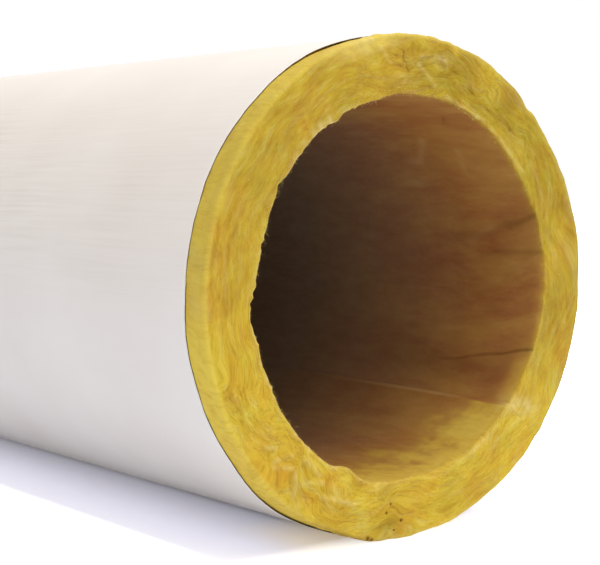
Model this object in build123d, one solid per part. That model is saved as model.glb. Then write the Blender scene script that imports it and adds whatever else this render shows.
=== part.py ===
from build123d import *
import math
import os

os.makedirs("parts", exist_ok=True)

# One straight section of jacketed fiberglass pipe insulation, lying on its side.
# Sizes in mm. The pipe's axis runs along X and the floor is at Z = 0.
# Angles are in degrees about X, from +Y towards +Z.

# Moulded glass wool: 1 in thick wall that closes round a nominal 6 in steel pipe.
section_length = 914.4
bore_radius = 84.3
wall_thickness = 25.1
slit_angle = -42.0
slit_width = 0.8
outer_corner_radius = 2.0
mouth_corner_radius = 1.2

# White all-service jacket: one sheet of paper, glass scrim and foil.
sheet_thickness = 0.4
end_setback = 13.5
lap_width = 38.0
step_length = 4.0
sheet_start_gap = 1.0

wool_radius = bore_radius + wall_thickness
sheet_radius = wool_radius + sheet_thickness
lap_radius = sheet_radius + sheet_thickness
sheet_length = section_length - 2 * end_setback
axis_height = sheet_radius


def arc_degrees(length, radius):
    return math.degrees(length / radius)


def on_circle(radius, angle):
    return (radius * math.cos(math.radians(angle)), radius * math.sin(math.radians(angle)))


def rims(part, radius):
    return part.edges().filter_by(GeomType.CIRCLE).filter_by(lambda rim: math.isclose(rim.radius, radius))


# Sleeve: a thick tube, cut through its wall along one side so that it opens over the pipe.
with BuildPart() as sleeve:
    with BuildSketch(Plane.YZ.offset(-section_length / 2)):
        Circle(wool_radius)
        Circle(bore_radius, mode=Mode.SUBTRACT)
        with PolarLocations((bore_radius + wool_radius) / 2, 1, start_angle=slit_angle):
            Rectangle(2 * wall_thickness, slit_width, mode=Mode.SUBTRACT)
    extrude(amount=section_length)
    fillet(rims(sleeve, wool_radius), outer_corner_radius)
    fillet(rims(sleeve, bore_radius), mouth_corner_radius)

# Jacket: the sheet starts under the slit's lower lip, goes once round the wool, steps up
# over its own start and ends in a lap that is stuck down past the slit.
first_edge = slit_angle - arc_degrees(sheet_start_gap, wool_radius)
step_top = slit_angle + arc_degrees(sheet_start_gap, sheet_radius)
step_foot = step_top + arc_degrees(step_length, sheet_radius)
lap_edge = slit_angle - arc_degrees(lap_width, sheet_radius)

with BuildPart() as jacket:
    with BuildSketch(Plane.YZ.offset(-sheet_length / 2)):
        with BuildLine():
            CenterArc((0, 0), lap_radius, lap_edge, step_top - lap_edge)
            Line(on_circle(lap_radius, step_top), on_circle(sheet_radius, step_foot))
            CenterArc((0, 0), sheet_radius, step_foot, lap_edge + 360 - step_foot)
            Line(on_circle(sheet_radius, lap_edge), on_circle(lap_radius, lap_edge))
        make_face()
        with BuildLine():
            CenterArc((0, 0), sheet_radius, first_edge, step_top - first_edge)
            Line(on_circle(sheet_radius, step_top), on_circle(wool_radius, step_foot))
            CenterArc((0, 0), wool_radius, step_foot, first_edge + 360 - step_foot)
            Line(on_circle(wool_radius, first_edge), on_circle(sheet_radius, first_edge))
        make_face(mode=Mode.SUBTRACT)
    extrude(amount=sheet_length)

lift = Pos(0, 0, axis_height)
export_step(lift * sleeve.part, "parts/glass_wool_sleeve.step")
export_step(lift * jacket.part, "parts/paper_jacket.step")
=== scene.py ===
import bmesh
import bpy
import math
import random
from mathutils import Matrix, Vector, noise


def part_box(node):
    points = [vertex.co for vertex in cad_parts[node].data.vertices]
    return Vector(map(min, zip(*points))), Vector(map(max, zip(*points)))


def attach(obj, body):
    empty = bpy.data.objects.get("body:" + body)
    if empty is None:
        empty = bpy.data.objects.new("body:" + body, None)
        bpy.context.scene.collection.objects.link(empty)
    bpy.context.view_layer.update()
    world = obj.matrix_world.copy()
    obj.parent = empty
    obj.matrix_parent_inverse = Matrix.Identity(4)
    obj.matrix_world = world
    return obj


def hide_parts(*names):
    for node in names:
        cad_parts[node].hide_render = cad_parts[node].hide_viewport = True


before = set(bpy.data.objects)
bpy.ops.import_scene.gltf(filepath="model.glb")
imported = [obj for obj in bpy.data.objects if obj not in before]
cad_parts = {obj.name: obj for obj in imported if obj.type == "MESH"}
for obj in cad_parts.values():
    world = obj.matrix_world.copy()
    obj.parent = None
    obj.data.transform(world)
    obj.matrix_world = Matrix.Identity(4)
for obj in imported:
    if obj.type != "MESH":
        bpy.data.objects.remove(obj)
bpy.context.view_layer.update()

# Moulded glass wool sleeve. Resin-bonded mat is wound into a tube, cured on a mandrel and sawn to
# length: golden crumpled layers show on the sawn ends, and the bore has a smooth brown skin.
# It is slit lengthwise through one side, and its ends stand out past the jacket.
wool_low, wool_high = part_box("glass_wool_sleeve")
half_length = wool_high.x
wool_radius = (wool_high.z - wool_low.z) / 2
axis_height = (wool_high.z + wool_low.z) / 2
bore_radius = 0.0843
wall_middle = (bore_radius + wool_radius) / 2
bare_end = half_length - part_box("paper_jacket")[1].x
outer_rounding = 0.0016
rim_rounding = 0.0012
slit_degrees = -42
slit_angle = math.radians(slit_degrees)
slit_gap = 0.00005
slit_sweep = slit_gap / wool_radius

# Half of a lengthwise section, from the seen end's rim round to the bore near that end
under_edge = 0.002
covered = half_length - bare_end - under_edge
mouth = half_length - 0.06
lit_depth = half_length - 0.2
section = [(half_length, bore_radius), (half_length, wool_radius), (covered, wool_radius),
           (-covered, wool_radius), (-half_length, wool_radius), (-half_length, bore_radius),
           (-mouth, bore_radius), (lit_depth, bore_radius), (mouth, bore_radius)]
work = bmesh.new()
corners = [work.verts.new((x, radius, 0)) for x, radius in section]
for first, second in zip(corners, corners[1:] + corners[:1]):
    work.edges.new((first, second))
rounded = ((corners[1], corners[4], outer_rounding), (corners[0], corners[5], rim_rounding))
for seen_corner, far_corner, rounding in rounded:
    bmesh.ops.bevel(work, geom=[seen_corner, far_corner], affect="VERTICES", offset=rounding, segments=3,
                    profile=0.5, material=-1)

# Spacing of the mesh at the far end and the seen end, under the jacket and deeper in the bore
face_spacing = (0.0018, 0.0009)
bare_spacing = (0.003, 0.0012)
mouth_spacing = (0.006, 0.0025)
covered_spacing = 0.1
lit_bore_spacing = 0.012
deep_bore_spacing = 0.08
for edge in list(work.edges):
    middle = (edge.verts[0].co + edge.verts[1].co) / 2
    length = edge.calc_length()
    seen_end = middle.x > 0
    if abs(middle.x) > half_length - 0.0002:
        spacing = face_spacing[seen_end]
    elif middle.y > wall_middle:
        spacing = covered_spacing if length > 0.1 else bare_spacing[seen_end]
    elif length > 0.5:
        spacing = deep_bore_spacing
    elif length > 0.1:
        spacing = lit_bore_spacing
    else:
        spacing = mouth_spacing[seen_end]
    if length > 2 * spacing:
        bmesh.ops.subdivide_edges(work, edges=[edge], cuts=int(length / spacing))

# One sector is spun from the section, then copied round as far as the other side of the slit
sectors = 28
steps_each = 25
sector = (math.tau - slit_sweep) / sectors
bmesh.ops.rotate(work, verts=work.verts, matrix=Matrix.Rotation(slit_angle + slit_sweep / 2, 3, "X"))
bmesh.ops.spin(work, geom=work.verts[:] + work.edges[:], axis=(1, 0, 0), cent=(0, 0, 0), angle=sector,
               steps=steps_each)
bmesh.ops.spin(work, geom=work.verts[:] + work.edges[:] + work.faces[:], axis=(1, 0, 0), cent=(0, 0, 0),
               angle=sector * (sectors - 1), steps=sectors - 1, use_duplicate=True)
bmesh.ops.remove_doubles(work, verts=work.verts, dist=0.00001)
bmesh.ops.holes_fill(work, edges=[e for e in work.edges if e.is_boundary], sides=0)
bmesh.ops.recalc_face_normals(work, faces=work.faces)

# Marks that the relief and the colours follow. The layers wind with the mat. The others go from 0
# to 1: the bore's skin, the outer side, folds, creases darkened with painted shade (and how far off
# each lies), painted shade and a faint joint in the mat, pale frayed wool and painted highlights, skin
# yellow partly with resin and partly with painted light, and gold that leans to olive (0) or amber (1).
layers = work.verts.layers.float_vector.new("layers")
mark_names = ("skin", "outside", "folded", "creased", "crease_offset", "stained", "pale", "yellowed",
              "tinted")
marks = {name: work.verts.layers.float.new(name) for name in mark_names}

# Spots on the sawn faces: degrees round the axis, radius, spread and strength. In the folds the
# layers crumple, tints lean to olive (minus) or amber (plus), the olive ones darker and partly painted
# shade on the upper and right part of the face, and the painted shades darken hollows where shade falls.
folds = [(82, 0.0965, 0.020, 1), (60, 0.099, 0.013, 1), (44, 0.096, 0.008, 1), (-96, 0.097, 0.012, 1),
         (-118, 0.096, 0.014, 1), (-136, 0.098, 0.018, 1), (-160, 0.098, 0.014, 1)]
tints_and_shade = [(78, 0.096, 0.030, -0.5), (24, 0.100, 0.034, -0.42), (-78, 0.103, 0.018, -0.06),
         (-97, 0.102, 0.005, -0.3), (122, 0.094, 0.018, -0.1), (131, 0.092, 0.003, 0.28),
         (163, 0.094, 0.014, 0.05), (-135, 0.103, 0.007, 0.4), (-120, 0.089, 0.004, 0.35),
         (-94, 0.106, 0.005, 0.3), (76, 0.107, 0.003, 0.4), (-168, 0.097, 0.010, 0.15),
         (8, 0.085, 0.010, 0.2), (50, 0.099, 0.018, -0.32)]
painted_shades = [(140, 0.097, 0.060, 0.20), (105, 0.092, 0.010, 0.12), (-8, 0.096, 0.036, 0.20),
          (-5, 0.087, 0.016, 0.10), (-97, 0.107, 0.012, 0.22), (-66, 0.109, 0.014, 0.15),
          (55, 0.104, 0.012, 0.12), (90, 0.107, 0.006, 0.10), (155, 0.088, 0.030, 0.08),
          (112, 0.087, 0.014, 0.10), (-14, 0.086, 0.022, 0.12), (176, 0.104, 0.020, 0.07)]

# Tufts that stand up from the seen face, with their height in place of the strength
tufts = [(110.7, 0.1060, 0.0030, 0.0010), (105, 0.1065, 0.0030, 0.0014), (100, 0.1060, 0.0030, 0.0012),
         (-127, 0.0990, 0.0040, 0.0006), (66, 0.0980, 0.0060, 0.0008)]

# Creases between layers of the seen face, darkened with painted shade: degrees and radius in mm of the
# start, the bend and the end, then the strength
face_creases = [((97, 99), (95, 97), (93, 95), 0.5), ((93, 101), (93, 98), (91, 94), 0.6),
                ((95, 104), (94, 103), (93, 102), 0.5), ((96, 101), (94, 100), (93, 97), 0.4),
                ((88, 99), (85, 102), (80, 102), 0.4), ((87, 96), (83, 100), (78, 99), 0.4),
                ((76, 98), (74, 98), (71, 98), 0.35), ((71, 94), (69, 94), (67, 93), 0.5),
                ((66, 88), (62, 88), (53, 100), 0.25), ((60, 105), (55, 107), (53, 103), 0.25),
                ((62, 101), (57, 103), (55, 101), 0.25), ((55, 92), (52, 93), (49, 93), 0.35),
                ((103, 94), (101, 94), (100, 93), 0.3), ((-104, 89), (-103, 91), (-100, 92), 0.3),
                ((-129, 98), (-127, 94), (-126, 91), 0.2), ((-156, 106), (-155, 105), (-155, 103), 0.2),
                ((-150, 105), (-149, 102), (-148, 99), 0.2), ((-174, 102), (-171, 103), (-168, 104), 0.2),
                ((172, 101), (174, 100), (176, 101), 0.2)]

# Ridges of curled layers on the seen face, raised and lit with painted highlights, given in the same
# way without a strength
highlighted_ridges = [((-138, 102), (-136, 98), (-133, 96)), ((-133, 96), (-130, 100), (-129, 104)),
               ((-139, 100), (-138, 96), (-136, 93)), ((88, 97), (84, 92), (81, 88)),
               ((77, 86), (67, 85), (58, 86)), ((58, 86), (45, 86), (36, 87)),
               ((-129, 99), (-127, 95), (-123, 93)),
               ((-132, 90), (-128, 90), (-125, 91)), ((-121, 98), (-115, 96), (-110, 96)),
               ((103, 109), (101, 106), (99, 101)), ((88, 100), (84, 103), (79, 101)),
               ((-144, 101), (-143, 98), (-141, 96))]

# Creases of the bore's skin, darkened with painted shade: degrees at the start and the end, depth of
# both, width and strength
bore_creases = [(-21.8, -32.6, 0.000, 0.080, 0.0013, 0.55), (21.3, 15.3, 0.000, 0.034, 0.0022, 0.42),
                (9.3, 8.0, 0.000, 0.046, 0.0018, 0.28), (15.3, 12.0, 0.030, 0.070, 0.0024, 0.2),
                (65.8, 58.5, 0.017, 0.026, 0.0008, 0.35)]

# Pale scuffs in the bore: degrees and depth of both ends, width and strength
scuffs = [(52, 0.048, 26, 0.080, 0.0016, 0.16), (47, 0.030, 37, 0.034, 0.0012, 0.12),
          (12, 0.046, 17, 0.030, 0.0020, 0.12)]

# Places where the rim of the bore is torn: degrees, spread, and how far outwards
torn_places = [(184, 0.011, 0.0026), (196, 0.007, 0.0010), (148, 0.003, 0.0014), (176, 0.002, -0.0008),
               (168, 0.003, -0.0012), (120, 0.004, -0.0012), (244, 0.007, -0.0022), (0, 0.030, 0.0010)]

# Where the seen end is pressed out of round: degrees, spread in radians, and how far outwards. It
# starts this far along the tube and is full just before the end.
pressed_places = [(3, 0.40, 0.0012), (-102, 0.12, 0.0009), (-78, 0.60, -0.0022), (38, 0.30, -0.0005),
                  (106, 0.15, -0.0006)]
pressed_from = 0.25
pressed_fully = 0.45


def smooth(low, high, value):
    share = min(1.0, max(0.0, (value - low) / (high - low)))
    return share * share * (3 - 2 * share)


def bell(offset, spread):
    return math.exp(-(offset / spread) ** 2)


def turned_from(angle, degrees):
    return (angle - math.radians(degrees) + math.pi) % math.tau - math.pi


def near(angle, degrees, spread):
    return bell(turned_from(angle, degrees) * wall_middle, spread)


def out_of_round(angle, x):
    outwards = 0.0
    for degrees, spread, amount in pressed_places:
        outwards += amount * bell(turned_from(angle, degrees), spread)
    return outwards * smooth(pressed_from, pressed_fully, x)


def at_polar(degrees, radius):
    return Vector((math.cos(math.radians(degrees)), math.sin(math.radians(degrees)))) * radius


def spots(table, flat):
    return sum(amount * bell((flat - at_polar(degrees, radius)).length, spread)
               for degrees, radius, spread, amount in table)


def bent_line(start, bend, end):
    first, second, third = [at_polar(degrees, mm / 1000) for degrees, mm in (start, bend, end)]
    steps = [i / 4 for i in range(5)]
    return [first * (1 - t) ** 2 + second * 2 * t * (1 - t) + third * t ** 2 for t in steps]


def off_line(line, place):
    nearest = None
    for first, second in zip(line, line[1:]):
        way = second - first
        share = min(1.0, max(0.0, (place - first).dot(way) / way.length_squared))
        away = place - first - way * share
        if nearest is None or away.length < abs(nearest):
            nearest = math.copysign(away.length, way.x * away.y - way.y * away.x)
    return nearest


def grain(*place):
    return noise.noise(Vector(place))


dark_lines = [(bent_line(start, bend, end), strength) for start, bend, end, strength in face_creases]
ridge_highlights = [bent_line(*points) for points in highlighted_ridges]
scuff_lines = []
for start_degrees, start_depth, end_degrees, end_depth, width, strength in scuffs:
    start = Vector((math.radians(start_degrees) * bore_radius, start_depth))
    end = Vector((math.radians(end_degrees) * bore_radius, end_depth))
    scuff_lines.append(([start, end], width, strength))

# Widths of the lines on the seen face, and how far from a line's middle they are looked for. A groove
# is its strength and how many times its core's width it lies away.
ridge_width = 0.0010
crease_width = 0.0014
crease_core = 0.0004
line_reach = 0.018

# Heights of the relief, up from the wool's surface
layer_height = 0.0002
folded_layer_height = 0.0005
lump_height = 0.0006
ridge_height = 0.0007
flare_height = 0.0007
crease_depth = 0.0006
nick_depth = 0.0012
wrinkle_height = 0.0004
lower_lip_height = 0.0009
upper_lip_depth = 0.0004
tear_depth = 0.0007
tooth_depth = 0.0015
rim_edge = bore_radius + 0.0003
no_groove = (0.0, 9.0)
noise.seed_set(5)
moved_places = []
for vert in work.verts:
    x, y, z = vert.co
    flat = Vector((y, z))
    radius = math.hypot(y, z)
    angle = math.atan2(z, y)
    along = ((angle - slit_angle) % math.tau) * wall_middle
    from_end = half_length - abs(x)
    seen_end = x > 0
    in_bore = smooth(bore_radius + 0.0012, bore_radius + 0.0002, radius)
    on_outside = smooth(wool_radius - 0.0014, wool_radius - 0.0004, radius)
    open_wool = smooth(bare_end + 0.001, bare_end - 0.002, from_end) * (1 - in_bore)

    # Ridges with painted highlights, creases with painted shade, and tufts of the seen face, each line a
    # little wavy and broken
    ridge_here = 0.0
    tuft_here = 0.0
    grooves = [no_groove]
    if seen_end and from_end < 0.004 and radius > bore_radius + 0.0005:
        for line in ridge_highlights:
            if (flat - line[2]).length < line_reach:
                ridge_here = max(ridge_here, bell(off_line(line, flat), ridge_width))
        wavy = flat + noise.noise_vector(Vector((y / 0.004, z / 0.004, 0))).to_2d() * 0.0006
        broken = 0.4 + 0.6 * smooth(-0.3, 0.3, grain(y / 0.003, z / 0.003, 4))
        for line, strength in dark_lines:
            if (flat - line[2]).length < line_reach:
                offset = off_line(line, wavy)
                grooves.append((strength * broken * bell(offset, crease_width), offset / crease_core))
        tuft_here = spots(tufts, flat)

    # Layers wander slowly everywhere, and quickly where the mat is folded
    fold = 0.15 + spots(folds, flat)
    place = Vector((along, radius, x))
    slow = noise.noise_vector(Vector((along / 0.035, radius / 0.02, x / 0.05)))
    quick = noise.noise_vector(Vector((along / 0.010 + 7, radius / 0.008, x / 0.02)))
    place += Vector((slow.x * 0.012, slow.y * 0.008, slow.z * 0.004))
    place += Vector((quick.x * 0.005, quick.y * 0.0045, 0)) * fold
    vert[layers] = place
    vert[marks["folded"]] = min(1.0, fold)
    tint = 0.5 + 0.24 * grain(along / 0.012, radius / 0.008, x + 4) + spots(tints_and_shade, flat)
    vert[marks["tinted"]] = min(1.0, max(0.0, tint))

    # Outer side, a lighter yellow partly of its own and partly painted light, and the yellow lobes near
    # the top that curl over the seen face
    lobes = near(angle, 105, 0.014) * smooth(0.101, 0.107, radius) * smooth(0.010, 0.0, from_end)
    lobes *= seen_end
    vert[marks["outside"]] = max(smooth(wool_radius - 0.0020, wool_radius - 0.0002, radius), 0.9 * lobes)

    # Moulded skin, which starts at a slightly uneven line just inside the mouth
    skin_start = 0.0012 + 0.0010 * grain(along / 0.006, 3, 1)
    vert[marks["skin"]] = in_bore * smooth(skin_start - 0.003, skin_start + 0.003, from_end)

    # Pale wool: frayed beside the slit and along the rim, most of all at the upper left; and painted
    # highlights on the ridges, on the lobes and along a lip of the slit in the bore
    cloud = 0.5 + 0.5 * noise.fractal(Vector((along / 0.004, radius / 0.004, x / 0.004)), 0.7, 2.0, 2)
    slit_on_face = slit_degrees + 1 + 7 * (radius - bore_radius) / 0.025
    beside_slit = near(angle, slit_on_face, 0.005) * (1 - in_bore) * smooth(0.107, 0.095, radius)
    at_rim = smooth(bore_radius + 0.004, bore_radius + 0.001, radius) * (1 - in_bore)
    beside_slit += 0.6 * near(angle, -60, 0.022) * at_rim
    beside_slit += 0.6 * near(angle, -41.5, 0.005) * in_bore * smooth(0.012, 0.002, from_end)
    slit_lip_highlight = in_bore * near(angle, -42.4, 0.0007)
    slit_lip_highlight *= smooth(0.15, 0.06, from_end) * smooth(0.02, 0.05, from_end)
    fringe = 0.0023 + 0.0030 * near(angle, 128, 0.020)
    frayed = smooth(rim_edge + fringe, rim_edge, radius) * smooth(0.003, 0.0, from_end)
    frayed *= smooth(-0.1, -0.6, math.cos(angle - 0.1)) + 1.2 * near(angle, 128, 0.018)
    scuffed = 0.0
    if seen_end and in_bore > 0.5 and from_end < 0.1 and -0.2 < angle < 1.2:
        for line, width, strength in scuff_lines:
            offset = off_line(line, Vector((angle * bore_radius, from_end)))
            scuffed = max(scuffed, strength * bell(offset, width))
    pale = cloud * max(0.75 * beside_slit, 0.8 * cloud * frayed) + 0.3 * slit_lip_highlight
    pale += 0.45 * ridge_here * cloud + 0.5 * lobes * cloud + scuffed
    vert[marks["pale"]] = min(1.0, pale)

    # Yellow on the skin, partly resin and partly painted light falling into the mouth: deep below the
    # slit, faint at the upper right, and narrow round the rest of the mouth
    lower = smooth(math.radians(-42.2), math.radians(-43.2), angle) * smooth(-2.2, -1.9, angle)
    reach = 0.040 + 0.026 * grain(along / 0.018, 8, 2)
    patch = 0.95 + 0.4 * noise.fractal(Vector((along / 0.012, x / 0.014, 6)), 0.7, 2.0, 3)
    above_slit = smooth(math.radians(-46), math.radians(-40), angle) * smooth(math.radians(5), -0.6, angle)
    under_slit = smooth(math.radians(-42), math.radians(-42.6), angle) * smooth(-1.5, -0.8, angle)
    yellow_zones = (lower * patch * smooth(reach * 1.8, reach * 0.1, from_end),
                    lower * smooth(0.014, 0.004, from_end),
                    0.3 * under_slit * smooth(0.2, 0.05, from_end),
                    0.7 * above_slit * smooth(0.022, 0.002, from_end),
                    0.32 * near(angle, 58, 0.045) * smooth(0.09, 0.02, from_end),
                    0.36 * smooth(0.016, 0.0, from_end))
    vert[marks["yellowed"]] = in_bore * max(yellow_zones)

    # Creases that run into the bore and widen, and a short crack in the face at the right, darkened with
    # painted shade and sunk in the relief
    for start_degrees, end_degrees, start_depth, end_depth, width, strength in bore_creases:
        share = (from_end - start_depth) / (end_depth - start_depth)
        if seen_end and in_bore and -0.1 < share < 1.1:
            wander = 0.6 * grain(from_end / 0.012, start_degrees, 0)
            middle = start_degrees + (end_degrees - start_degrees) * share + wander
            offset = turned_from(angle, middle) * bore_radius
            widened = width * (1 + share)
            faded = strength * smooth(1.05, 0.5, share) * in_bore
            grooves.append((faded * bell(offset, 2.2 * widened), offset / (0.6 * widened)))
    if seen_end:
        offset = turned_from(angle, -19.5 + 3 * (radius - 0.093) / 0.0093) * radius
        cracked = 0.3 * smooth(0.106, 0.094, radius) * (1 - in_bore)
        grooves.append((cracked * bell(offset, crease_width), offset / crease_core))
    vert[marks["creased"]], vert[marks["crease_offset"]] = max(grooves)

    # Painted shade in hollows, on the outer corner at the right, at the bottom corner by the floor and
    # beside the first crease in the bore, and a faint joint in the mat
    joint = near(angle, -96 + 400 * (radius - 0.097), 0.0022)
    joint *= smooth(0.6, 0.9, cloud + (radius - 0.09) / 0.04)
    bottom_corner_shade = near(angle, -108, 0.020) * on_outside * smooth(0.005, 0.001, from_end)
    shade = 0.35 * on_outside * smooth(0.2, 0.7, math.cos(angle - 0.2)) * smooth(0.004, 0.001, from_end)
    shade += (1 - in_bore) * spots(painted_shades, flat)
    beside_crease = in_bore * near(angle, -31, 0.013)
    shade += 0.33 * beside_crease * smooth(0.006, 0.014, from_end) * smooth(0.12, 0.07, from_end)
    stained = max(0.12 * joint * (1 - in_bore), 0.6 * bottom_corner_shade, shade)
    vert[marks["stained"]] = stained if seen_end else 0.0

    # Relief of the bare wool: fine layers, broader lumps, ridges and tufts, calm beside the slit
    layer_relief = noise.fractal(Vector((place.x / 0.009, place.y / 0.0026, place.z / 0.012)), 0.8, 2.1, 3)
    lump = noise.fractal(Vector((along / 0.016, radius / 0.012, x / 0.012 + 3)), 0.8, 2.0, 2)
    height = open_wool * ((layer_height + folded_layer_height * fold) * layer_relief + lump_height * lump)
    height *= 0.2 + 0.8 * smooth(0.0005, 0.005, abs(turned_from(angle, slit_degrees)) * radius)
    height += ridge_height * ridge_here + tuft_here * (0.7 + 0.6 * lump)
    flare = flare_height * (1 - near(angle, -112, 0.030) * seen_end)
    height += open_wool * on_outside * flare * smooth(bare_end, 0.003, from_end)
    height -= crease_depth * vert[marks["creased"]]

    # Relief of the bore: slow wrinkles, and one lip of the slit a little higher than the other
    wrinkle = noise.fractal(Vector((along / 0.03, x / 0.09, 5)), 0.8, 2.2, 4)
    height += in_bore * wrinkle_height * wrinkle
    past_slit = (angle - slit_angle) * bore_radius
    if -0.012 < past_slit < 0:
        height += in_bore * lower_lip_height * math.exp(past_slit / 0.005)
    if 0 < past_slit < 0.006:
        height -= in_bore * upper_lip_depth * math.exp(-past_slit / 0.002)

    # A nick in the outer corner of the seen end, at the upper right
    height -= nick_depth * near(angle, 48, 0.003) * on_outside * smooth(0.006, 0.001, from_end) * seen_end

    # Torn rim of the bore, with small teeth that are longest at the left
    torn = noise.fractal(Vector((along / 0.014, 11, 0)), 0.7, 2.0, 2) * tear_depth
    teeth = grain(along / 0.0027, 5, x / 0.006)
    torn += tooth_depth * teeth * abs(teeth) * (0.4 + 0.6 * smooth(0.3, -0.4, math.cos(angle - 0.3)))
    torn += sum(amount * near(angle, degrees, spread) for degrees, spread, amount in torn_places)
    rim = smooth(bore_radius + 0.0045, bore_radius + 0.0005, radius) * smooth(0.005, 0.001, from_end)
    outwards = torn * rim + out_of_round(angle, x)
    moved = vert.co + vert.normal * height + Vector((0, y, z)).normalized() * outwards
    moved.z = max(moved.z, -axis_height)
    moved_places.append(moved)
for vert, moved in zip(work.verts, moved_places):
    vert.co = moved
bmesh.ops.translate(work, verts=work.verts, vec=(0, 0, axis_height))

wool_mesh = bpy.data.meshes.new("glass_wool")
work.to_mesh(wool_mesh)
work.free()
wool_mesh.shade_smooth()
wool_mesh.set_sharp_from_angle(angle=math.radians(75))
wool = bpy.data.objects.new("glass_wool", wool_mesh)
bpy.context.scene.collection.objects.link(wool)


def linear(hex_colour):
    parts = [int(hex_colour[i:i + 2], 16) / 255 for i in (0, 2, 4)]
    return [p / 12.92 if p <= 0.04045 else ((p + 0.055) / 1.055) ** 2.4 for p in parts] + [1.0]


# Adds a node with its settings, a colour ramp's stops among them, and its inputs. An input is given
# by name, with _ for a space, or as i and its number, and is a value or another node's output.
def node(tree, kind, settings={}, **inputs):
    made = tree.nodes.new(kind)
    for name, value in settings.items():
        if name == "stops":
            elements = made.color_ramp.elements
            for element, (place, colour) in zip(elements, (value[0], value[-1])):
                element.position = place
                element.color = linear(colour)
            for place, colour in value[1:-1]:
                elements.new(place).color = linear(colour)
        else:
            setattr(made, name, value)
    for name, value in inputs.items():
        socket = made.inputs[int(name[1:])] if name[1:].isdigit() else made.inputs[name.replace("_", " ")]
        if isinstance(value, bpy.types.NodeSocket):
            tree.links.new(value, socket)
        else:
            socket.default_value = value
    return made


# How often a pattern repeats in a metre, from its size in millimetres
def repeats(*sizes_mm):
    counts = [1000 / size for size in sizes_mm]
    return counts if len(counts) > 1 else counts[0]


# Resin-bonded glass wool, sawn on the ends and moulded against a mandrel in the bore. To the eye it
# is dull all over: streaky gold with a soft nap where sawn, and a calmer brown skin where moulded.
# Its fibres are about 0.007 mm thick and too fine to show, so bundles of them are drawn.
wool_look = bpy.data.materials.new("glass_wool_sawn_and_moulded")
wool_look.use_nodes = True
tree = wool_look.node_tree
surface = tree.nodes["Principled BSDF"]
mixed = {"data_type": "RGBA"}
multiplied = {"data_type": "RGBA", "blend_type": "MULTIPLY"}
product = {"operation": "MULTIPLY"}
larger = {"operation": "MAXIMUM"}
winding = node(tree, "ShaderNodeAttribute", {"attribute_name": "layers"}).outputs["Vector"]
position = node(tree, "ShaderNodeTexCoord").outputs["Object"]
marked = {name: node(tree, "ShaderNodeAttribute", {"attribute_name": name}).outputs["Fac"]
          for name in mark_names}

# Gold of the sawn wool. Its tone changes about every 10 mm along the layers and 3 mm across them,
# and is warmer in patches.
mats = node(tree, "ShaderNodeMapping", Vector=winding, Scale=repeats(10.5, 3.3, 9)).outputs[0]
mat_tone = node(tree, "ShaderNodeTexNoise", Vector=mats, Scale=1.0, Detail=4.0,
                Roughness=0.55).outputs["Fac"]
gold = node(tree, "ShaderNodeValToRGB", Fac=mat_tone, settings={
    "stops": [(0.32, "C8982A"), (0.45, "D9AE32"), (0.58, "E2BE3C"), (0.72, "ECCE68")]}).outputs["Color"]
patch_tone = node(tree, "ShaderNodeTexNoise", Vector=position, Scale=repeats(16.67), Detail=3.0,
                  Roughness=0.5).outputs["Fac"]
amber = node(tree, "ShaderNodeValToRGB", Fac=patch_tone, settings={
    "stops": [(0.36, "D4A440"), (0.5, "DAB83A"), (0.66, "DCC84E")]}).outputs["Color"]
gold = node(tree, "ShaderNodeMix", mixed, i0=0.35, i6=gold, i7=amber).outputs[2]
# The olive end is darker, partly painted shade on the upper and right part of the face
olive_or_amber = node(tree, "ShaderNodeValToRGB", Fac=marked["tinted"], settings={
    "stops": [(0.0, "CFD0B4"), (0.5, "F8FBF0"), (1.0, "F4DAB4")]}).outputs["Color"]
gold = node(tree, "ShaderNodeMix", multiplied, i0=1.0, i6=gold, i7=olive_or_amber).outputs[2]
# The outer side's lighter yellow is partly its own and partly painted light where light falls on it
outside_yellow_and_painted_light = node(tree, "ShaderNodeMix", mixed, i0=0.55, i6=gold, i7=linear("F2DA62")).outputs[2]
gold = node(tree, "ShaderNodeMix", mixed, i0=marked["outside"], i6=gold, i7=outside_yellow_and_painted_light).outputs[2]
dust = node(tree, "ShaderNodeMapping", Vector=winding, Scale=repeats(17, 2.6, 9)).outputs[0]
dust = node(tree, "ShaderNodeTexNoise", Vector=dust, Scale=1.0, Detail=3.0, Roughness=0.6).outputs["Fac"]
dust = node(tree, "ShaderNodeMapRange", Value=dust, i1=0.5, i2=0.72, i3=0.0, i4=0.24).outputs[0]
gold = node(tree, "ShaderNodeMix", mixed, i0=dust, i6=gold, i7=linear("D2BE7E")).outputs[2]

# Bundles of fibres along the layers, and a nap on the outer side, both drawn coarser than real
strands = node(tree, "ShaderNodeMapping", Vector=winding, Scale=repeats(3.2, 0.95, 3.2)).outputs[0]
strand_tone = node(tree, "ShaderNodeTexNoise", Vector=strands, Scale=1.0, Detail=3.0,
                   Roughness=0.65).outputs["Fac"]
nap = node(tree, "ShaderNodeMapping", Vector=winding, Scale=repeats(2.0, 4.0, 7.0)).outputs[0]
nap_tone = node(tree, "ShaderNodeTexNoise", Vector=nap, Scale=1.0, Detail=3.0, Roughness=0.65).outputs["Fac"]
fine_tone = node(tree, "ShaderNodeMix", i0=marked["outside"], i2=strand_tone, i3=nap_tone).outputs[0]
streak_dark = node(tree, "ShaderNodeMix", mixed, i0=marked["outside"], i6=linear("CFC3A0"),
                   i7=linear("E2D2A8")).outputs[2]
streaks = node(tree, "ShaderNodeMapRange", Value=fine_tone, i1=0.3, i2=0.55).outputs[0]
streaks = node(tree, "ShaderNodeMix", mixed, i0=streaks, i6=streak_dark, i7=linear("FFFFFF")).outputs[2]
streaky = node(tree, "ShaderNodeMapRange", Value=marked["folded"], i1=0.15, i2=0.8, i3=0.38,
               i4=0.64).outputs[0]
gold = node(tree, "ShaderNodeMix", multiplied, i0=streaky, i6=gold, i7=streaks).outputs[2]
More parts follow.
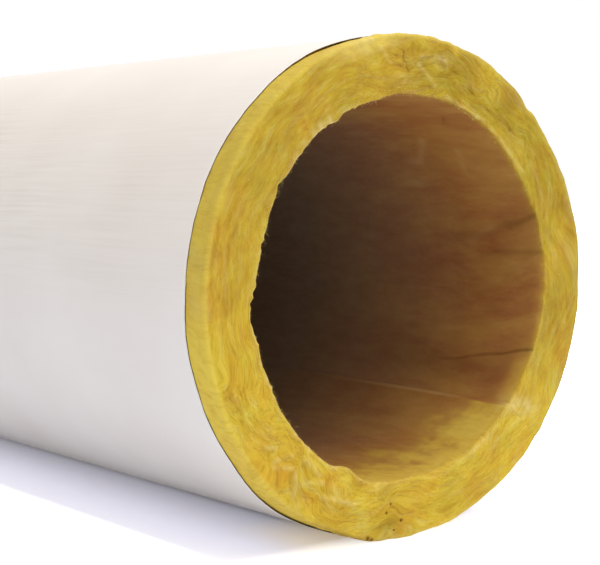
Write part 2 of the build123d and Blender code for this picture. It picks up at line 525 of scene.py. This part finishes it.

# Painted shade in the gaps between folded layers, about 4 mm apart and broken up
fold_lines = node(tree, "ShaderNodeMapping", Vector=winding, Scale=repeats(14, 3.8, 11)).outputs[0]
fold_tone = node(tree, "ShaderNodeTexNoise", {"noise_type": "RIDGED_MULTIFRACTAL", "normalize": True},
                 Vector=fold_lines, Scale=1.0, Detail=2.0, Roughness=0.5).outputs["Fac"]
fold_gap_shade = node(tree, "ShaderNodeMapRange", Value=fold_tone, i1=0.6, i2=0.9).outputs[0]
fold_here = node(tree, "ShaderNodeTexNoise", Vector=position, Scale=repeats(7.692),
                 Detail=2.0).outputs["Fac"]
fold_here = node(tree, "ShaderNodeMapRange", Value=fold_here, i1=0.42, i2=0.62).outputs[0]
fold_here = node(tree, "ShaderNodeMath", product, i0=fold_here, i1=marked["folded"]).outputs[0]
fold_gap_shade = node(tree, "ShaderNodeMath", product, i0=fold_gap_shade, i1=fold_here).outputs[0]
fold_gap_shade_brown = node(tree, "ShaderNodeMix", multiplied, i0=1.0, i6=gold, i7=linear("9C7440")).outputs[2]
gold = node(tree, "ShaderNodeMix", mixed, i0=fold_gap_shade, i6=gold, i7=fold_gap_shade_brown).outputs[2]

# Brown of the moulded skin: a grain about 5 mm wide along the bore, broad slanting blotches of
# redder resin, a lighter greyer brown deep inside as painted light, and yellow near the mouth, partly
# painted light
skin_grain = node(tree, "ShaderNodeMapping", Vector=position, Scale=repeats(14, 5, 5)).outputs[0]
skin_tone = node(tree, "ShaderNodeTexNoise", Vector=skin_grain, Scale=1.0, Detail=5.0,
                 Roughness=0.7).outputs["Fac"]
brown = node(tree, "ShaderNodeValToRGB", Fac=skin_tone, settings={
    "stops": [(0.3, "A2723C"), (0.5, "B48446"), (0.7, "C69854")]}).outputs["Color"]
slanting = node(tree, "ShaderNodeMapping", Vector=winding, Rotation=(0, math.radians(35), 0),
                Scale=repeats(18, 33, 62)).outputs[0]
blotch_tone = node(tree, "ShaderNodeTexNoise", Vector=slanting, Scale=1.0, Detail=4.0,
                   Roughness=0.6).outputs["Fac"]
reddish = node(tree, "ShaderNodeValToRGB", Fac=blotch_tone, settings={
    "stops": [(0.38, "A05A36"), (0.62, "C09048")]}).outputs["Color"]
brown = node(tree, "ShaderNodeMix", mixed, i0=0.55, i6=brown, i7=reddish).outputs[2]
# Painted light: a lighter, greyer brown deep inside stands in for stray light there
greyer_for_painted_glare = node(tree, "ShaderNodeValToRGB", Fac=skin_tone, settings={
    "stops": [(0.3, "947E66"), (0.7, "A28E78")]}).outputs["Color"]
along_tube = node(tree, "ShaderNodeSeparateXYZ", Vector=position).outputs["X"]
from_middle = node(tree, "ShaderNodeMath", {"operation": "ABSOLUTE"}, i0=along_tube).outputs[0]
deep_inside = node(tree, "ShaderNodeMapRange", Value=from_middle, i1=half_length - 0.04,
                   i2=half_length - 0.17).outputs[0]
brown = node(tree, "ShaderNodeMix", mixed, i0=deep_inside, i6=brown, i7=greyer_for_painted_glare).outputs[2]
resin_and_painted_light_yellow = node(tree, "ShaderNodeValToRGB", Fac=marked["yellowed"], settings={
    "stops": [(0.35, "BC8C44"), (0.95, "DFC052")]}).outputs["Color"]
blotches = node(tree, "ShaderNodeValToRGB", Fac=blotch_tone, settings={
    "stops": [(0.35, "E8D6BC"), (0.65, "FFFFFF")]}).outputs["Color"]
resin_and_painted_light_yellow = node(tree, "ShaderNodeMix", multiplied, i0=0.6, i6=resin_and_painted_light_yellow, i7=blotches).outputs[2]
resin_and_painted_light_yellow = node(tree, "ShaderNodeMix", multiplied, i0=0.2, i6=resin_and_painted_light_yellow, i7=streaks).outputs[2]
yellowed = node(tree, "ShaderNodeMapRange", Value=marked["yellowed"], i1=0.0, i2=0.75).outputs[0]
brown = node(tree, "ShaderNodeMix", mixed, i0=yellowed, i6=brown, i7=resin_and_painted_light_yellow).outputs[2]
colour = node(tree, "ShaderNodeMix", mixed, i0=marked["skin"], i6=gold, i7=brown).outputs[2]
colour = node(tree, "ShaderNodeMix", mixed, i0=marked["pale"], i6=colour, i7=linear("EDD88E")).outputs[2]

# Painted shade in the creases and hollows, the faint joint, and painted shade in small holes near the
# bottom of the seen face, the holes given as degrees, radius and size
off_crease = node(tree, "ShaderNodeMath", {"operation": "ABSOLUTE"}, i0=marked["crease_offset"]).outputs[0]
off_crease = node(tree, "ShaderNodeMapRange", Value=off_crease, i1=0.3, i2=1.5, i3=1.0, i4=0.35).outputs[0]
crease = node(tree, "ShaderNodeMath", product, i0=off_crease, i1=marked["creased"]).outputs[0]
dark = node(tree, "ShaderNodeMath", larger, i0=crease, i1=marked["stained"]).outputs[0]
holes = [(-98.4, 0.0967, 0.0006), (-93.3, 0.1001, 0.0007), (-95.4, 0.1042, 0.0005), (-97.3, 0.0928, 0.0005),
         (-103.4, 0.1082, 0.0011), (-102.2, 0.1085, 0.0010)]
for degrees, radius, size in holes:
    y, z = at_polar(degrees, radius)
    hole = node(tree, "ShaderNodeVectorMath", {"operation": "DISTANCE"}, i0=position,
                i1=(half_length, y, z + axis_height)).outputs["Value"]
    hole = node(tree, "ShaderNodeMapRange", Value=hole, i1=size * 0.4, i2=size * 1.8, i3=0.9,
                i4=0.0).outputs[0]
    dark = node(tree, "ShaderNodeMath", larger, i0=dark, i1=hole).outputs[0]
shade_and_joint_brown = node(tree, "ShaderNodeMix", multiplied, i0=1.0, i6=colour, i7=linear("7A4E34")).outputs[2]
colour = node(tree, "ShaderNodeMix", mixed, i0=dark, i6=colour, i7=shade_and_joint_brown).outputs[2]
tree.links.new(colour, surface.inputs["Base Color"])
surface.inputs["Roughness"].default_value = 0.9
surface.inputs["Specular IOR Level"].default_value = 0.2

# Relief: bundles of fibres stand up, with single ones drawn 0.6 mm thick, much coarser than real.
# Folds and creases go in, and the moulded skin is much flatter.
fibre_grain = node(tree, "ShaderNodeTexNoise", Vector=position, Scale=repeats(0.625),
                   Detail=2.0).outputs["Fac"]
heights = node(tree, "ShaderNodeMath", {"operation": "MULTIPLY_ADD"}, i0=fibre_grain, i1=0.4,
               i2=fine_tone).outputs[0]
sunk = node(tree, "ShaderNodeMath", {"operation": "MULTIPLY_ADD"}, i0=fold_gap_shade, i1=1.6, i2=dark).outputs[0]
heights = node(tree, "ShaderNodeMath", {"operation": "SUBTRACT"}, i0=heights, i1=sunk).outputs[0]
rough = node(tree, "ShaderNodeMix", i0=marked["skin"], i2=0.7, i3=0.25).outputs[0]
relief = node(tree, "ShaderNodeBump", Height=heights, Distance=0.0007, Strength=rough).outputs[0]
tree.links.new(relief, surface.inputs["Normal"])
wool_mesh.materials.append(wool_look)
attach(wool, "root")
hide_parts("glass_wool_sleeve")

# Loose fibres of the wool. Sawing leaves tufts and single strands that stand out of both end
# faces and hang over the torn rim of the bore, and a few strands have peeled off low in the bore.
# Each is drawn 0.08 mm thick, much coarser than a real fibre, so that it shows at all.
random.seed(6)
fibre_radius = 0.00004
rim_count = 2600
seen_face_count = 500
far_face_count = 700
ends_seen = [v for v in wool_mesh.vertices if v.co.x > half_length - 0.003 and v.co.z > 0.005]
ends_far = [v for v in wool_mesh.vertices if v.co.x < 0.003 - half_length and v.co.z > 0.005]
rims = [v for v in ends_seen if math.hypot(v.co.y, v.co.z - axis_height) < bore_radius + 0.003]
fringed = [1.0 if v.co.y < 0.04 else 0.25 for v in rims]
rooted = random.choices(rims, weights=fringed, k=rim_count)
rooted += random.sample(ends_seen, seen_face_count) + random.sample(ends_far, far_face_count)
strands = bpy.data.curves.new("loose_fibres", "CURVE")
strands.dimensions = "3D"
strands.bevel_depth = fibre_radius
strands.bevel_resolution = 0
strands.use_fill_caps = True
for vert in rooted:
    length = 0.0004 + min(0.0020, 0.0006 * random.expovariate(1.0))
    drift = Vector((random.gauss(0, 1), random.gauss(0, 1), random.gauss(0, 1))).normalized()
    curl = Vector((random.gauss(0, 1), random.gauss(0, 1), random.gauss(0, 1))).normalized() * 0.5
    heading = (vert.normal * 0.45 + drift * 0.8).normalized()
    spline = strands.splines.new("POLY")
    spline.points.add(2)
    for point, share in zip(spline.points, (0.0, 0.5, 1.0)):
        place = vert.co - vert.normal * 0.0003 + (heading * share + curl * share * share) * length
        point.co = (*place, 1.0)
        point.radius = 1.0 - 0.6 * share

# The peeled strands low in the bore
for lean, lift in ((0.0, 0.0010), (0.4, 0.0013), (-0.3, 0.0008)):
    spline = strands.splines.new("POLY")
    spline.points.add(4)
    for point, share in zip(spline.points, (0.0, 0.25, 0.5, 0.75, 1.0)):
        angle = math.radians(-81.6 + 6.0 * share + lean * share)
        height = bore_radius - 0.0004 - lift * math.sin(math.pi * share)
        depth = 0.0476 + 0.0022 * math.sin(math.pi * share)
        y = height * math.cos(angle)
        z = height * math.sin(angle) + axis_height
        point.co = (half_length - depth, y, z, 1.0)
        point.radius = 2.6
fibres = bpy.data.objects.new("loose_fibres", strands)
bpy.context.scene.collection.objects.link(fibres)

# Drawn glass fibres with a film of cured resin: a dull pale yellow, deeper gold in clumps of a few
# millimetres that hold more resin.
fibre_look = bpy.data.materials.new("loose_glass_fibres")
fibre_look.use_nodes = True
tree = fibre_look.node_tree
surface = tree.nodes["Principled BSDF"]
position = node(tree, "ShaderNodeTexCoord").outputs["Object"]
clump_tone = node(tree, "ShaderNodeTexNoise", Vector=position, Scale=repeats(2.5), Detail=2.0).outputs["Fac"]
fibre_yellow = node(tree, "ShaderNodeValToRGB", Fac=clump_tone, settings={
    "stops": [(0.35, "DDB648"), (0.65, "F2E2A8")]}).outputs["Color"]
tree.links.new(fibre_yellow, surface.inputs["Base Color"])
surface.inputs["Roughness"].default_value = 0.6
strands.materials.append(fibre_look)
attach(fibres, "root")

# White all-service jacket: kraft paper on glass scrim and foil, glued round the wool.
# One sheet, wrapped once round, lapped over its own start below the slit and stuck down.
# Its cut edge at the seen end is slightly ragged, lifted at two places and askew at one.
jacket_low, jacket_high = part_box("paper_jacket")
sheet = 0.0004
lap_width = 0.038
step_length = 0.004
step_rise = sheet + 0.00005
under_radius = wool_radius + sheet / 2
start_before_slit = 0.001 / wool_radius
full_sweep = math.tau + lap_width / wool_radius
undulation_height = 0.00012
lift_height = 0.0008
lift_stretch = 0.008
askew_depth = 0.003
ragged_depth = 0.0009
fine_ragged_depth = 0.0003
ragged_stretch = 0.015
end_stretch = 0.02
end_cuts = 9
middle_cuts = 24
sheet_steps = 420
work = bmesh.new()
ends = [work.verts.new((x, under_radius, 0)) for x in
        (jacket_low.x, jacket_low.x + end_stretch, jacket_high.x - end_stretch, jacket_high.x)]
for first, second in zip(ends, ends[1:]):
    work.edges.new((first, second))
for edge in list(work.edges):
    bmesh.ops.subdivide_edges(work, edges=[edge], cuts=end_cuts if edge.calc_length() < 0.1 else middle_cuts)
column = len(work.verts)
bmesh.ops.rotate(work, verts=work.verts, matrix=Matrix.Rotation(slit_angle - start_before_slit, 3, "X"))
bmesh.ops.spin(work, geom=work.verts[:] + work.edges[:], axis=(1, 0, 0), cent=(0, 0, 0), angle=full_sweep,
               steps=sheet_steps)
work.verts.ensure_lookup_table()
for vert in work.verts:
    x, y, z = vert.co
    angle = math.atan2(z, y)
    sweep = (vert.index // column) / sheet_steps * full_sweep
    raised = smooth(math.tau - step_length / wool_radius, math.tau, sweep) * step_rise
    undulation = undulation_height * grain(sweep * 9, x / 0.3, 2)
    lifted = bell(turned_from(angle, 110), 0.20) + 0.6 * bell(turned_from(angle, -122), 0.22)
    lifted *= lift_height * smooth(jacket_high.x - lift_stretch, jacket_high.x, x)
    vert.co += Vector((0, y, z)).normalized() * (raised + undulation + lifted + out_of_round(angle, x))
    ragged = ragged_depth * grain(angle * 5, 3, x) + fine_ragged_depth * grain(angle * 30, 9, x)
    askew = smooth(-142, -130, math.degrees(angle)) * smooth(-108, -122, math.degrees(angle))
    cut_back = ragged + askew_depth * askew
    vert.co.x -= cut_back * smooth(jacket_high.x - ragged_stretch, jacket_high.x, x)
    vert.co.x += ragged * smooth(jacket_low.x + ragged_stretch, jacket_low.x, x)
    vert.co.z = max(vert.co.z, sheet / 2 - axis_height)
bmesh.ops.recalc_face_normals(work, faces=work.faces)
bmesh.ops.translate(work, verts=work.verts, vec=(0, 0, axis_height))
jacket_mesh = bpy.data.meshes.new("paper_jacket_sheet")
work.to_mesh(jacket_mesh)
work.free()
jacket_mesh.shade_smooth()
jacket = bpy.data.objects.new("paper_jacket_sheet", jacket_mesh)
bpy.context.scene.collection.objects.link(jacket)
thickness = jacket.modifiers.new("sheet", "SOLIDIFY")
thickness.thickness = sheet
thickness.offset = 0.0
thickness.use_even_offset = True
thickness.material_offset_rim = 1

# Bleached kraft paper, laminated over the scrim: matt warm white with a faint mottle. On its upper
# half fine lines about 1.4 mm apart run lengthwise, where the paper follows the threads under it.
paper = bpy.data.materials.new("white_kraft_paper_on_scrim")
paper.use_nodes = True
tree = paper.node_tree
surface = tree.nodes["Principled BSDF"]
position = node(tree, "ShaderNodeTexCoord").outputs["Object"]
mottle = node(tree, "ShaderNodeTexNoise", Vector=position, Scale=repeats(71.43), Detail=3.0,
              Roughness=0.5).outputs["Fac"]
# Lit and shaded whites: the upper part is a warmer white where the light falls, and the lower part a cooler
# white as painted shade with the floor's bluish light in it
warm_white = node(tree, "ShaderNodeValToRGB", Fac=mottle, settings={
    "stops": [(0.3, "EFE6DC"), (0.7, "F4ECE3")]}).outputs["Color"]
painted_shade_white = node(tree, "ShaderNodeValToRGB", Fac=mottle, settings={
    "stops": [(0.3, "EDE7E2"), (0.7, "F2EEEA")]}).outputs["Color"]
above_floor = node(tree, "ShaderNodeSeparateXYZ", Vector=position).outputs["Z"]
painted_shade_below = node(tree, "ShaderNodeMapRange", Value=above_floor, i1=0.16, i2=0.09).outputs[0]
white = node(tree, "ShaderNodeMix", mixed, i0=painted_shade_below, i6=warm_white, i7=painted_shade_white).outputs[2]
threads = node(tree, "ShaderNodeMapping", Vector=position, Scale=repeats(55, 1.4, 1.4)).outputs[0]
thread_tone = node(tree, "ShaderNodeTexNoise", Vector=threads, Scale=1.0, Detail=3.0,
                   Roughness=0.6).outputs["Fac"]
thread_grey = node(tree, "ShaderNodeValToRGB", Fac=thread_tone, settings={
    "stops": [(0.35, "E4DFD7"), (0.6, "FFFFFF")]}).outputs["Color"]
lined = node(tree, "ShaderNodeTexNoise", Vector=position, Scale=repeats(125), Detail=2.0).outputs["Fac"]
lined = node(tree, "ShaderNodeMapRange", Value=lined, i1=0.4, i2=0.65, i3=0.1, i4=0.55).outputs[0]
upper_half = node(tree, "ShaderNodeMapRange", Value=above_floor, i1=0.10, i2=0.15).outputs[0]
below_crown = node(tree, "ShaderNodeMapRange", Value=above_floor, i1=0.205, i2=0.18).outputs[0]
lined_side = node(tree, "ShaderNodeMath", product, i0=upper_half, i1=below_crown).outputs[0]
lined = node(tree, "ShaderNodeMath", product, i0=lined, i1=lined_side).outputs[0]
colour = node(tree, "ShaderNodeMix", multiplied, i0=lined, i6=white, i7=thread_grey).outputs[2]
tree.links.new(colour, surface.inputs["Base Color"])
surface.inputs["Roughness"].default_value = 0.6
surface.inputs["Specular IOR Level"].default_value = 0.25
relief = node(tree, "ShaderNodeBump", Height=thread_tone, Distance=0.00012, Strength=lined).outputs[0]
tree.links.new(relief, surface.inputs["Normal"])
jacket_mesh.materials.append(paper)

# Cut edge of the sheet: foil, scrim and brown glue seen edge on, as a thin dark line without shine,
# its dark partly painted shade of the thin gap at the edge.
cut_edge = bpy.data.materials.new("cut_foil_and_glue_edge")
cut_edge.use_nodes = True
tree = cut_edge.node_tree
surface = tree.nodes["Principled BSDF"]
position = node(tree, "ShaderNodeTexCoord").outputs["Object"]
glue_tone = node(tree, "ShaderNodeTexNoise", Vector=position, Scale=repeats(2), Detail=3.0).outputs["Fac"]
glue_and_painted_gap_shade = node(tree, "ShaderNodeValToRGB", Fac=glue_tone, settings={
    "stops": [(0.35, "4A4028"), (0.65, "7C6C40")]}).outputs["Color"]
tree.links.new(glue_and_painted_gap_shade, surface.inputs["Base Color"])
surface.inputs["Roughness"].default_value = 0.8
jacket_mesh.materials.append(cut_edge)
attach(jacket, "root")
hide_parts("paper_jacket")

# Studio floor: a wide sheet of matt white paper, without any shine, that the sleeve lies on.
# The camera alone also sees a glow on it, which makes it white with a painted soft bluish shadow beside
# the jacket, and painted warm light thrown back from the wool near the open end. It puts no light on
# the object.
floor_half_width = 6
shadow_reach = 0.1
painted_bounce_stretch = (0.385, 0.425)
shadow_stop = (0.434, 0.453)
work = bmesh.new()
bmesh.ops.create_grid(work, x_segments=1, y_segments=1, size=floor_half_width)
floor_mesh = bpy.data.meshes.new("floor")
work.to_mesh(floor_mesh)
work.free()
floor = bpy.data.objects.new("floor", floor_mesh)
bpy.context.scene.collection.objects.link(floor)
floor_look = bpy.data.materials.new("white_paper_sweep")
floor_look.use_nodes = True
tree = floor_look.node_tree
surface = tree.nodes["Principled BSDF"]
position = node(tree, "ShaderNodeTexCoord").outputs["Object"]
floor_tone = node(tree, "ShaderNodeTexNoise", Vector=position, Scale=repeats(333.3)).outputs["Fac"]
floor_white = node(tree, "ShaderNodeValToRGB", Fac=floor_tone, settings={
    "stops": [(0.3, "F4F4FB"), (0.7, "F8F8FE")]}).outputs["Color"]
tree.links.new(floor_white, surface.inputs["Base Color"])
surface.inputs["Roughness"].default_value = 1.0
surface.inputs["Specular IOR Level"].default_value = 0.0
from_centre = node(tree, "ShaderNodeVectorMath", {"operation": "ABSOLUTE"}, Vector=position)
from_centre = node(tree, "ShaderNodeSeparateXYZ", Vector=from_centre.outputs["Vector"])
across = node(tree, "ShaderNodeMapRange", Value=from_centre.outputs["Y"], i2=shadow_reach).outputs[0]
glow = node(tree, "ShaderNodeValToRGB", Fac=across, settings={
    "stops": [(0.19, "5A5A5F"), (0.23, "7E7D86"), (0.28, "8A8993"), (0.65, "A1A0B0"), (0.83, "9D9CA6"),
              (0.92, "FFFFFF")]}).outputs["Color"]
# Painted warm light thrown back from the wool near the open end
beside = node(tree, "ShaderNodeMapRange", Value=across, i1=0.55, i2=0.38).outputs[0]
near_end = node(tree, "ShaderNodeMapRange", Value=from_centre.outputs["X"], i1=painted_bounce_stretch[0],
                i2=painted_bounce_stretch[1]).outputs[0]
warm = node(tree, "ShaderNodeMath", product, i0=beside, i1=near_end).outputs[0]
glow = node(tree, "ShaderNodeMix", mixed, i0=warm, i6=glow, i7=linear("AA9A80")).outputs[2]
past_end = node(tree, "ShaderNodeMapRange", Value=from_centre.outputs["X"], i1=shadow_stop[0],
                i2=shadow_stop[1]).outputs[0]
glow = node(tree, "ShaderNodeMix", mixed, i0=past_end, i6=glow, i7=linear("FFFFFF")).outputs[2]
to_camera = node(tree, "ShaderNodeLightPath").outputs["Is Camera Ray"]
tree.links.new(glow, surface.inputs["Emission Color"])
tree.links.new(to_camera, surface.inputs["Emission Strength"])
floor_mesh.materials.append(floor_look)

# White surroundings of a product photograph: white to the camera, and a little over half as bright
# to the object, which lights it softly from all sides.
world = bpy.data.worlds.new("white_studio")
bpy.context.scene.world = world
world.use_nodes = True
tree = world.node_tree
background = tree.nodes["Background"]
to_camera = node(tree, "ShaderNodeLightPath").outputs["Is Camera Ray"]
strength = node(tree, "ShaderNodeMapRange", Value=to_camera, i3=0.56, i4=1.0).outputs[0]
tree.links.new(strength, background.inputs["Strength"])
background.inputs["Color"].default_value = linear("FFFFFF")

# Lamps: a large softbox high above the open end, and a small cool reflector low in front of it,
# which lifts the shade on the face and in the bore.
softbox = bpy.data.lights.new("overhead_softbox", "AREA")
softbox.shape = "RECTANGLE"
softbox.size = 3.0
softbox.size_y = 2.0
softbox.energy = 44.0
softbox_object = bpy.data.objects.new("overhead_softbox", softbox)
softbox_object.location = (0.9, 0.35, 2.0)
softbox_object.rotation_euler = Vector((0.6, 0.35, 1.9)).to_track_quat("Z", "Y").to_euler()
bpy.context.scene.collection.objects.link(softbox_object)
reflector = bpy.data.lights.new("low_reflector", "AREA")
reflector.shape = "RECTANGLE"
reflector.size = 0.30
reflector.size_y = 0.12
reflector.energy = 0.16
reflector.color = linear("C4E7FF")[:3]
reflector_object = bpy.data.objects.new("low_reflector", reflector)
reflector_object.location = (0.76, 0.05, 0.03)
reflector_object.rotation_euler = Vector((0.31, 0.05, -0.10)).to_track_quat("Z", "Y").to_euler()
reflector_object.visible_camera = False
bpy.context.scene.collection.objects.link(reflector_object)

# Camera, where the photographer stood: to the right of the open end and a little above the axis.
lens = bpy.data.cameras.new("camera")
lens.sensor_width = 36.0
lens.lens = 87.4
camera = bpy.data.objects.new("camera", lens)
camera.location = (0.9137, -0.4335, 0.1587)
camera.rotation_euler = Vector((-0.77375, 0.62934, -0.07238)).to_track_quat("-Z", "Y").to_euler()
bpy.context.scene.collection.objects.link(camera)
bpy.context.scene.camera = camera
bpy.context.scene.view_settings.view_transform = "Standard"
